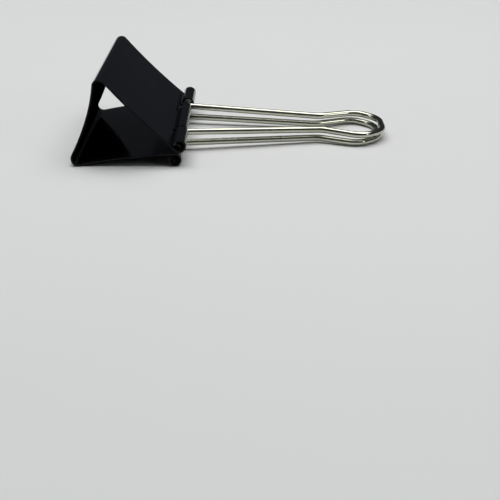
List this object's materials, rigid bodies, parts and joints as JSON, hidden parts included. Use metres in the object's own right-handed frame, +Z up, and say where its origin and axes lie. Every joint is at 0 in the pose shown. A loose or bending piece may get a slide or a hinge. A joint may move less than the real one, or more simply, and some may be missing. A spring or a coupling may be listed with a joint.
{
  "type": "binder clip",
  "caption": "Large spring-steel binder clip with two fold-over wire handles, for clamping a stack of paper or leather.",
  "frame": {"origin": "on the table under the middle of the clip as it lies on its lower jaw with both handles folded forward", "axes": "+X from the spine towards the handle loops, +Y across the clip along the jaws, +Z up"},
  "size_m": [0.0806, 0.051, 0.0219],
  "materials": {
    "black_lacquer": "gloss black baked lacquer on spring steel",
    "nickel_wire": "bright nickel plating on spring wire"
  },
  "bodies": {
    "spine": {"spine": "black_lacquer"},
    "upper_jaw": {"upper_jaw": "black_lacquer"},
    "lower_jaw": {"lower_jaw": "black_lacquer"},
    "upper_handle": {"upper_handle": "nickel_wire"},
    "lower_handle": {"lower_handle": "nickel_wire"}
  },
  "joints": [
    {"name": "upper_jaw_open", "type": "hinge", "parent": "spine", "child": "upper_jaw", "pos_m": [-0.03256, 0, 0.02186], "axis": [0, -1, 0], "range_deg": [0, 26], "stiffness_Nm_per_rad": 1, "springref_deg": -17.19},
    {"name": "lower_jaw_open", "type": "hinge", "parent": "spine", "child": "lower_jaw", "pos_m": [-0.03993, 0, 0.00077], "axis": [0, 1, 0], "range_deg": [0, 26], "stiffness_Nm_per_rad": 1, "springref_deg": -17.19},
    {"name": "upper_handle_fold", "type": "hinge", "parent": "upper_jaw", "child": "upper_handle", "pos_m": [-0.01324, 0, 0.00491], "axis": [0, -1, 0], "range_deg": [0, 135]},
    {"name": "lower_handle_fold", "type": "hinge", "parent": "lower_jaw", "child": "lower_handle", "pos_m": [-0.01427, 0, 0.00198], "axis": [0, 1, 0], "range_deg": [0, 170]}
  ],
  "couplings": [
    {"joint": "upper_jaw_open", "follows": "lower_jaw_open", "ratio": 1}
  ]
}
